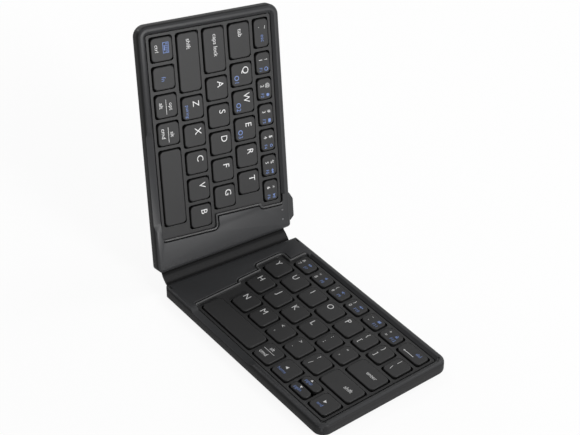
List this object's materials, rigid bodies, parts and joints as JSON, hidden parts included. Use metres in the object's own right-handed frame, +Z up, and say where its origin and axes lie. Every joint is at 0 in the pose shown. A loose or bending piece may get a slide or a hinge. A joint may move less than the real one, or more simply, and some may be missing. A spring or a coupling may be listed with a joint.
{
  "type": "folding keyboard",
  "caption": "Pocket keyboard in two splayed halves with chiclet keys, joined by a soft two-crease spine; it folds flat for typing and closes like a book. Charge socket at the back.",
  "frame": {"origin": "centre of the flat underside of the right half, which rests on the table", "axes": "+Z up from the table; +X along the key rows of the right half, away from the spine; +Y from the front key row to the number row"},
  "size_m": [0.2076, 0.1128, 0.1554],
  "materials": {
    "shell_lower": "fine grain",
    "shell_upper": "fine grain, satin",
    "key_deck": "fine grain",
    "keycap": "matte, printed legends",
    "steel_plate": "stamped",
    "membrane": "film",
    "dome_rubber": "moulded",
    "scissor_plastic": "moulded",
    "battery_foil": "pouch",
    "circuit_board": "solder mask",
    "socket_steel": "drawn",
    "light_pipe": "clear",
    "spine_fabric": "soft touch",
    "cable_film": "film"
  },
  "bodies": {
    "right_half": {"right_bottom_cover": "shell_lower", "right_top_cover": "shell_upper", "right_key_deck": "key_deck", "right_support_plate": "steel_plate", "right_membrane": "membrane", "right_domes": "dome_rubber", "right_scissors": "scissor_plastic", "battery": "battery_foil"},
    "spine": {"spine_band": "spine_fabric", "right_crease_web": "spine_fabric", "left_crease_web": "spine_fabric", "flat_cable": "cable_film"},
    "left_half": {"left_bottom_cover": "shell_lower", "left_top_cover": "shell_upper", "left_key_deck": "key_deck", "left_support_plate": "steel_plate", "left_membrane": "membrane", "left_domes": "dome_rubber", "left_scissors": "scissor_plastic", "controller_board": "circuit_board", "charge_socket": "socket_steel", "indicator_lights": "light_pipe"},
    "key_tab_cap": {"key_tab": "keycap"},
    "key_caps_lock_cap": {"key_caps_lock": "keycap"},
    "key_shift_left_cap": {"key_shift_left": "keycap"},
    "key_space_left_cap": {"key_space_left": "keycap"},
    "keys_number_row_left_cap": {"keys_number_row_left": "keycap"},
    "keys_modifier_left_cap": {"keys_modifier_left": "keycap"},
    "key_q_cap": {"key_q": "keycap"},
    "key_w_cap": {"key_w": "keycap"},
    "key_e_cap": {"key_e": "keycap"},
    "key_r_cap": {"key_r": "keycap"},
    "key_t_cap": {"key_t": "keycap"},
    "key_a_cap": {"key_a": "keycap"},
    "key_s_cap": {"key_s": "keycap"},
    "key_d_cap": {"key_d": "keycap"},
    "key_f_cap": {"key_f": "keycap"},
    "key_g_cap": {"key_g": "keycap"},
    "key_z_cap": {"key_z": "keycap"},
    "key_x_cap": {"key_x": "keycap"},
    "key_c_cap": {"key_c": "keycap"},
    "key_v_cap": {"key_v": "keycap"},
    "key_b_cap": {"key_b": "keycap"},
    "key_enter_cap": {"key_enter": "keycap"},
    "key_shift_right_cap": {"key_shift_right": "keycap"},
    "key_space_right_cap": {"key_space_right": "keycap"},
    "keys_number_row_right_cap": {"keys_number_row_right": "keycap"},
    "keys_punctuation_cap": {"keys_punctuation": "keycap"},
    "keys_arrow_cluster_cap": {"keys_arrow_cluster": "keycap"},
    "key_y_cap": {"key_y": "keycap"},
    "key_u_cap": {"key_u": "keycap"},
    "key_i_cap": {"key_i": "keycap"},
    "key_o_cap": {"key_o": "keycap"},
    "key_p_cap": {"key_p": "keycap"},
    "key_h_cap": {"key_h": "keycap"},
    "key_j_cap": {"key_j": "keycap"},
    "key_k_cap": {"key_k": "keycap"},
    "key_l_cap": {"key_l": "keycap"},
    "key_n_cap": {"key_n": "keycap"},
    "key_m_cap": {"key_m": "keycap"}
  },
  "joints": [
    {"name": "right_crease", "type": "hinge", "parent": "right_half", "child": "spine", "pos_m": [-0.0753, 0, 0.0042], "axis": [0.1045, 0.9945, 0], "range_deg": [-36.5, 53.3], "deforming": ["right_crease_web", "flat_cable"]},
    {"name": "left_crease", "type": "hinge", "parent": "spine", "child": "left_half", "pos_m": [-0.0817, 0.00067, 0.00896], "axis": [0.1045, 0.9945, 0], "range_deg": [-36.5, 53.3], "deforming": ["left_crease_web", "flat_cable"]},
    {"name": "key_tab_press", "type": "slide", "parent": "left_half", "child": "key_tab_cap", "axis": [-0.9511, 0.1, -0.2924], "range_m": [0, 0.0012], "stiffness_N_per_m": 400, "springref_m": -0.0003, "deforming": ["left_domes", "left_scissors"]},
    {"name": "key_caps_lock_press", "type": "slide", "parent": "left_half", "child": "key_caps_lock_cap", "axis": [-0.9511, 0.1, -0.2924], "range_m": [0, 0.0012], "stiffness_N_per_m": 400, "springref_m": -0.0003, "deforming": ["left_domes", "left_scissors"]},
    {"name": "key_shift_left_press", "type": "slide", "parent": "left_half", "child": "key_shift_left_cap", "axis": [-0.9511, 0.1, -0.2924], "range_m": [0, 0.0012], "stiffness_N_per_m": 400, "springref_m": -0.0003, "deforming": ["left_domes", "left_scissors"]},
    {"name": "key_space_left_press", "type": "slide", "parent": "left_half", "child": "key_space_left_cap", "axis": [-0.9511, 0.1, -0.2924], "range_m": [0, 0.0012], "stiffness_N_per_m": 400, "springref_m": -0.0003, "deforming": ["left_domes", "left_scissors"]},
    {"name": "keys_number_row_left_press", "type": "slide", "parent": "left_half", "child": "keys_number_row_left_cap", "axis": [-0.9511, 0.1, -0.2924], "range_m": [0, 0.0012], "stiffness_N_per_m": 2800, "springref_m": -0.0003, "deforming": ["left_domes", "left_scissors"]},
    {"name": "keys_modifier_left_press", "type": "slide", "parent": "left_half", "child": "keys_modifier_left_cap", "axis": [-0.9511, 0.1, -0.2924], "range_m": [0, 0.0012], "stiffness_N_per_m": 1600, "springref_m": -0.0003, "deforming": ["left_domes", "left_scissors"]},
    {"name": "key_q_press", "type": "slide", "parent": "left_half", "child": "key_q_cap", "axis": [-0.9511, 0.1, -0.2924], "range_m": [0, 0.0012], "stiffness_N_per_m": 400, "springref_m": -0.0003, "deforming": ["left_domes", "left_scissors"]},
    {"name": "key_w_press", "type": "slide", "parent": "left_half", "child": "key_w_cap", "axis": [-0.9511, 0.1, -0.2924], "range_m": [0, 0.0012], "stiffness_N_per_m": 400, "springref_m": -0.0003, "deforming": ["left_domes", "left_scissors"]},
    {"name": "key_e_press", "type": "slide", "parent": "left_half", "child": "key_e_cap", "axis": [-0.9511, 0.1, -0.2924], "range_m": [0, 0.0012], "stiffness_N_per_m": 400, "springref_m": -0.0003, "deforming": ["left_domes", "left_scissors"]},
    {"name": "key_r_press", "type": "slide", "parent": "left_half", "child": "key_r_cap", "axis": [-0.9511, 0.1, -0.2924], "range_m": [0, 0.0012], "stiffness_N_per_m": 400, "springref_m": -0.0003, "deforming": ["left_domes", "left_scissors"]},
    {"name": "key_t_press", "type": "slide", "parent": "left_half", "child": "key_t_cap", "axis": [-0.9511, 0.1, -0.2924], "range_m": [0, 0.0012], "stiffness_N_per_m": 400, "springref_m": -0.0003, "deforming": ["left_domes", "left_scissors"]},
    {"name": "key_a_press", "type": "slide", "parent": "left_half", "child": "key_a_cap", "axis": [-0.9511, 0.1, -0.2924], "range_m": [0, 0.0012], "stiffness_N_per_m": 400, "springref_m": -0.0003, "deforming": ["left_domes", "left_scissors"]},
    {"name": "key_s_press", "type": "slide", "parent": "left_half", "child": "key_s_cap", "axis": [-0.9511, 0.1, -0.2924], "range_m": [0, 0.0012], "stiffness_N_per_m": 400, "springref_m": -0.0003, "deforming": ["left_domes", "left_scissors"]},
    {"name": "key_d_press", "type": "slide", "parent": "left_half", "child": "key_d_cap", "axis": [-0.9511, 0.1, -0.2924], "range_m": [0, 0.0012], "stiffness_N_per_m": 400, "springref_m": -0.0003, "deforming": ["left_domes", "left_scissors"]},
    {"name": "key_f_press", "type": "slide", "parent": "left_half", "child": "key_f_cap", "axis": [-0.9511, 0.1, -0.2924], "range_m": [0, 0.0012], "stiffness_N_per_m": 400, "springref_m": -0.0003, "deforming": ["left_domes", "left_scissors"]},
    {"name": "key_g_press", "type": "slide", "parent": "left_half", "child": "key_g_cap", "axis": [-0.9511, 0.1, -0.2924], "range_m": [0, 0.0012], "stiffness_N_per_m": 400, "springref_m": -0.0003, "deforming": ["left_domes", "left_scissors"]},
    {"name": "key_z_press", "type": "slide", "parent": "left_half", "child": "key_z_cap", "axis": [-0.9511, 0.1, -0.2924], "range_m": [0, 0.0012], "stiffness_N_per_m": 400, "springref_m": -0.0003, "deforming": ["left_domes", "left_scissors"]},
    {"name": "key_x_press", "type": "slide", "parent": "left_half", "child": "key_x_cap", "axis": [-0.9511, 0.1, -0.2924], "range_m": [0, 0.0012], "stiffness_N_per_m": 400, "springref_m": -0.0003, "deforming": ["left_domes", "left_scissors"]},
    {"name": "key_c_press", "type": "slide", "parent": "left_half", "child": "key_c_cap", "axis": [-0.9511, 0.1, -0.2924], "range_m": [0, 0.0012], "stiffness_N_per_m": 400, "springref_m": -0.0003, "deforming": ["left_domes", "left_scissors"]},
    {"name": "key_v_press", "type": "slide", "parent": "left_half", "child": "key_v_cap", "axis": [-0.9511, 0.1, -0.2924], "range_m": [0, 0.0012], "stiffness_N_per_m": 400, "springref_m": -0.0003, "deforming": ["left_domes", "left_scissors"]},
    {"name": "key_b_press", "type": "slide", "parent": "left_half", "child": "key_b_cap", "axis": [-0.9511, 0.1, -0.2924], "range_m": [0, 0.0012], "stiffness_N_per_m": 400, "springref_m": -0.0003, "deforming": ["left_domes", "left_scissors"]},
    {"name": "key_enter_press", "type": "slide", "parent": "right_half", "child": "key_enter_cap", "axis": [0, 0, -1], "range_m": [0, 0.0012], "stiffness_N_per_m": 400, "springref_m": -0.0003, "deforming": ["right_domes", "right_scissors"]},
    {"name": "key_shift_right_press", "type": "slide", "parent": "right_half", "child": "key_shift_right_cap", "axis": [0, 0, -1], "range_m": [0, 0.0012], "stiffness_N_per_m": 400, "springref_m": -0.0003, "deforming": ["right_domes", "right_scissors"]},
    {"name": "key_space_right_press", "type": "slide", "parent": "right_half", "child": "key_space_right_cap", "axis": [0, 0, -1], "range_m": [0, 0.0012], "stiffness_N_per_m": 400, "springref_m": -0.0003, "deforming": ["right_domes", "right_scissors"]},
    {"name": "keys_number_row_right_press", "type": "slide", "parent": "right_half", "child": "keys_number_row_right_cap", "axis": [0, 0, -1], "range_m": [0, 0.0012], "stiffness_N_per_m": 2800, "springref_m": -0.0003, "deforming": ["right_domes", "right_scissors"]},
    {"name": "keys_punctuation_press", "type": "slide", "parent": "right_half", "child": "keys_punctuation_cap", "axis": [0, 0, -1], "range_m": [0, 0.0012], "stiffness_N_per_m": 3200, "springref_m": -0.0003, "deforming": ["right_domes", "right_scissors"]},
    {"name": "keys_arrow_cluster_press", "type": "slide", "parent": "right_half", "child": "keys_arrow_cluster_cap", "axis": [0, 0, -1], "range_m": [0, 0.0012], "stiffness_N_per_m": 2000, "springref_m": -0.0003, "deforming": ["right_domes", "right_scissors"]},
    {"name": "key_y_press", "type": "slide", "parent": "right_half", "child": "key_y_cap", "axis": [0, 0, -1], "range_m": [0, 0.0012], "stiffness_N_per_m": 400, "springref_m": -0.0003, "deforming": ["right_domes", "right_scissors"]},
    {"name": "key_u_press", "type": "slide", "parent": "right_half", "child": "key_u_cap", "axis": [0, 0, -1], "range_m": [0, 0.0012], "stiffness_N_per_m": 400, "springref_m": -0.0003, "deforming": ["right_domes", "right_scissors"]},
    {"name": "key_i_press", "type": "slide", "parent": "right_half", "child": "key_i_cap", "axis": [0, 0, -1], "range_m": [0, 0.0012], "stiffness_N_per_m": 400, "springref_m": -0.0003, "deforming": ["right_domes", "right_scissors"]},
    {"name": "key_o_press", "type": "slide", "parent": "right_half", "child": "key_o_cap", "axis": [0, 0, -1], "range_m": [0, 0.0012], "stiffness_N_per_m": 400, "springref_m": -0.0003, "deforming": ["right_domes", "right_scissors"]},
    {"name": "key_p_press", "type": "slide", "parent": "right_half", "child": "key_p_cap", "axis": [0, 0, -1], "range_m": [0, 0.0012], "stiffness_N_per_m": 400, "springref_m": -0.0003, "deforming": ["right_domes", "right_scissors"]},
    {"name": "key_h_press", "type": "slide", "parent": "right_half", "child": "key_h_cap", "axis": [0, 0, -1], "range_m": [0, 0.0012], "stiffness_N_per_m": 400, "springref_m": -0.0003, "deforming": ["right_domes", "right_scissors"]},
    {"name": "key_j_press", "type": "slide", "parent": "right_half", "child": "key_j_cap", "axis": [0, 0, -1], "range_m": [0, 0.0012], "stiffness_N_per_m": 400, "springref_m": -0.0003, "deforming": ["right_domes", "right_scissors"]},
    {"name": "key_k_press", "type": "slide", "parent": "right_half", "child": "key_k_cap", "axis": [0, 0, -1], "range_m": [0, 0.0012], "stiffness_N_per_m": 400, "springref_m": -0.0003, "deforming": ["right_domes", "right_scissors"]},
    {"name": "key_l_press", "type": "slide", "parent": "right_half", "child": "key_l_cap", "axis": [0, 0, -1], "range_m": [0, 0.0012], "stiffness_N_per_m": 400, "springref_m": -0.0003, "deforming": ["right_domes", "right_scissors"]},
    {"name": "key_n_press", "type": "slide", "parent": "right_half", "child": "key_n_cap", "axis": [0, 0, -1], "range_m": [0, 0.0012], "stiffness_N_per_m": 400, "springref_m": -0.0003, "deforming": ["right_domes", "right_scissors"]},
    {"name": "key_m_press", "type": "slide", "parent": "right_half", "child": "key_m_cap", "axis": [0, 0, -1], "range_m": [0, 0.0012], "stiffness_N_per_m": 400, "springref_m": -0.0003, "deforming": ["right_domes", "right_scissors"]}
  ],
  "couplings": [
    {"joint": "left_crease", "follows": "right_crease", "ratio": 1}
  ]
}
